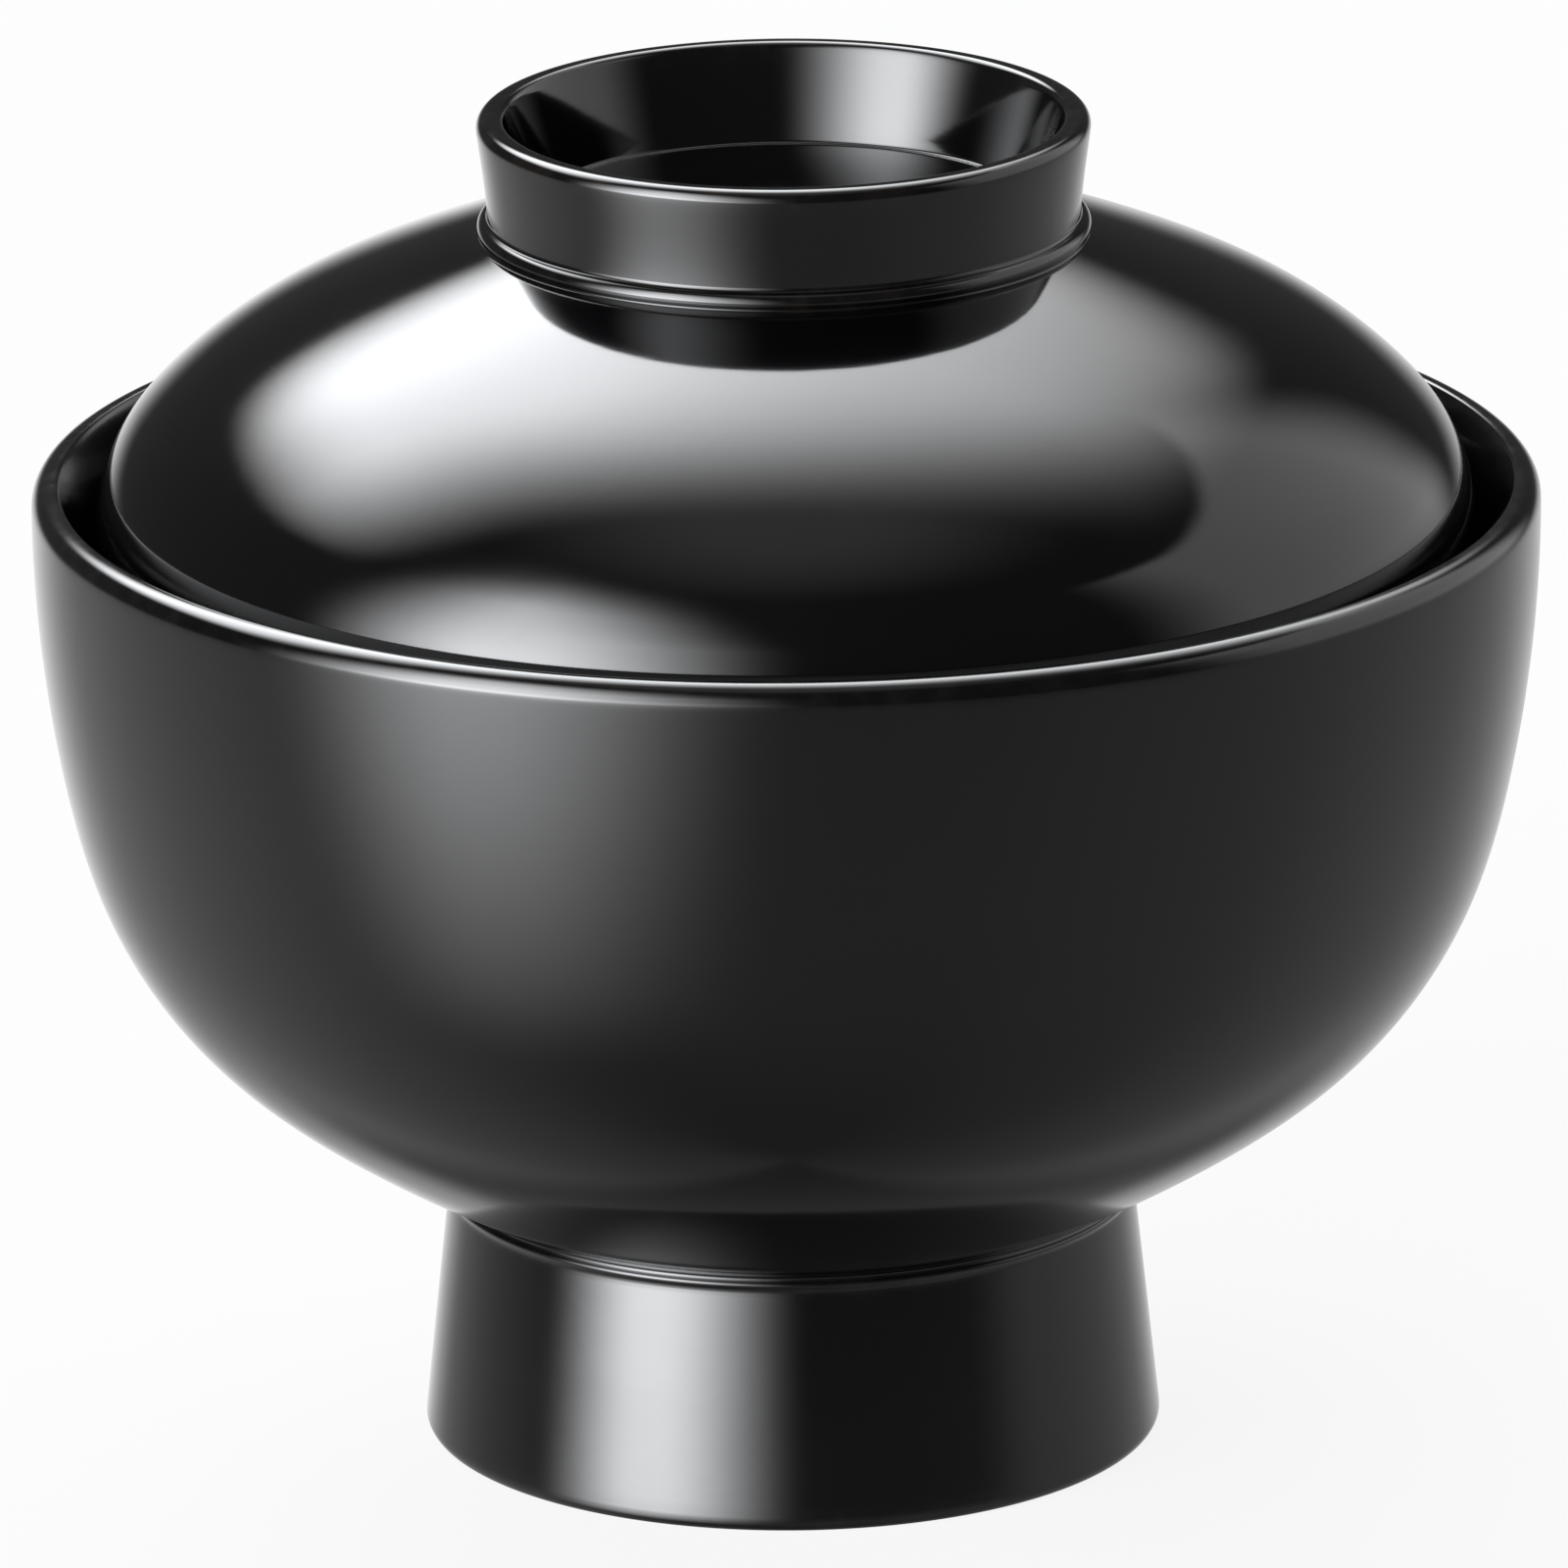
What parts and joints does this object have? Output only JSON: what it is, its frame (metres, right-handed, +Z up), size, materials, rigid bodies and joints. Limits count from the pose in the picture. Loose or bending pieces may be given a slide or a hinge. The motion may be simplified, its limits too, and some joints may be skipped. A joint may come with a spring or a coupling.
{
  "type": "lidded rice bowl",
  "caption": "Deep round turned bowl on a tall foot ring, with a domed lid that drops inside the mouth and carries a ring-shaped knob; glossy black lacquer.",
  "frame": {"origin": "centre of the foot ring's underside, where the bowl stands on the table", "axes": "+Z up along the turning axis of the bowl and lid, -Y towards the viewer, +X to the viewer's right"},
  "size_m": [0.12, 0.12, 0.1087],
  "materials": {
    "bowl_lacquer": "black lacquer over turned wood, polished to a deep gloss",
    "lid_lacquer": "black lacquer over turned wood, polished to a deep gloss"
  },
  "bodies": {
    "bowl": {"bowl": "bowl_lacquer"},
    "lid": {"lid": "lid_lacquer"}
  },
  "joints": [
    {"name": "lid_lift", "type": "slide", "parent": "bowl", "child": "lid", "axis": [0, 0, 1], "range_m": [0, 0.06]}
  ]
}
